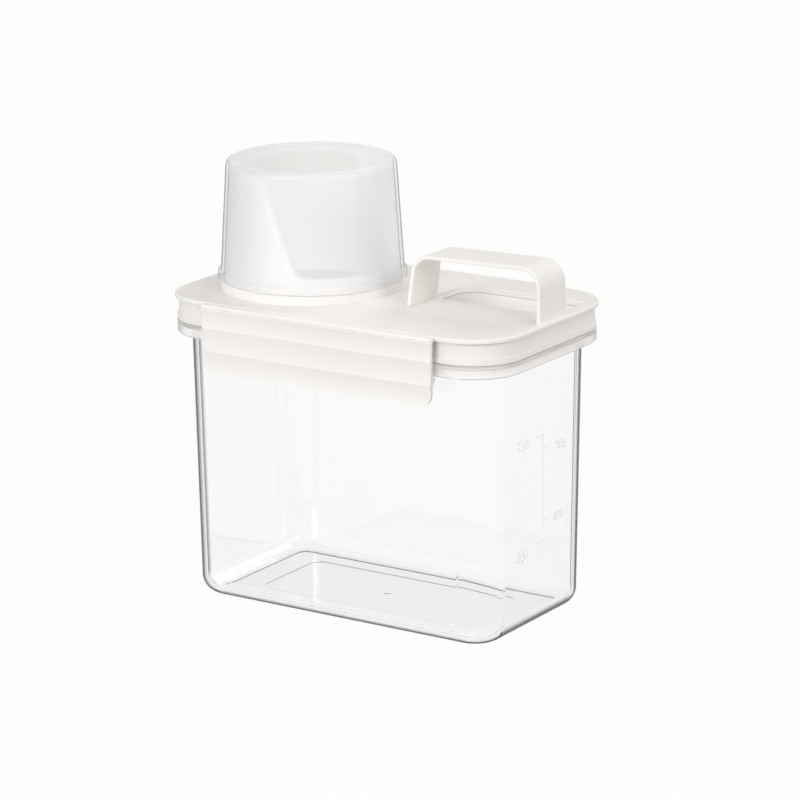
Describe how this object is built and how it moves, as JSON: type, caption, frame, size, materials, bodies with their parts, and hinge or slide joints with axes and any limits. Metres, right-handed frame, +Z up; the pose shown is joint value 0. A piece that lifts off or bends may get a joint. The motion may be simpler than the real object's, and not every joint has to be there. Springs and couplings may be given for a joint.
{
  "type": "washing powder container",
  "caption": "Clear rounded box for washing powder with a white snap lid, a slanted pour spout under a frosted measuring cup, a strap handle over a finger pocket and side latches.",
  "frame": {"origin": "middle of the base, on the surface that the container stands on", "axes": "+Z up; +X along the length towards the handle, with the cup at -X; -Y towards the front latch"},
  "size_m": [0.156, 0.0992, 0.1745],
  "materials": {
    "clear_plastic": "clear, smooth gloss",
    "white_plastic": "warm white, fine satin",
    "seal_rubber": "translucent white silicone, matte",
    "frosted_plastic": "frosted, see-through white"
  },
  "bodies": {
    "container": {"container": "clear_plastic"},
    "lid": {"lid": "white_plastic", "lid_seal": "seal_rubber"},
    "front_latch": {"front_latch": "white_plastic"},
    "back_latch": {"back_latch": "white_plastic"},
    "cup": {"measuring_cup": "frosted_plastic"}
  },
  "joints": [
    {"name": "lid_lift", "type": "slide", "parent": "container", "child": "lid", "axis": [0, 0, 1], "range_m": [0, 0.06]},
    {"name": "front_latch_hinge", "type": "hinge", "parent": "lid", "child": "front_latch", "pos_m": [0, -0.04665, 0.123], "axis": [-1, 0, 0], "range_deg": [0, 110]},
    {"name": "back_latch_hinge", "type": "hinge", "parent": "lid", "child": "back_latch", "pos_m": [0, 0.04665, 0.123], "axis": [1, 0, 0], "range_deg": [0, 110]},
    {"name": "cup_lift", "type": "slide", "parent": "lid", "child": "cup", "axis": [0, 0, 1], "range_m": [0, 0.05]}
  ]
}
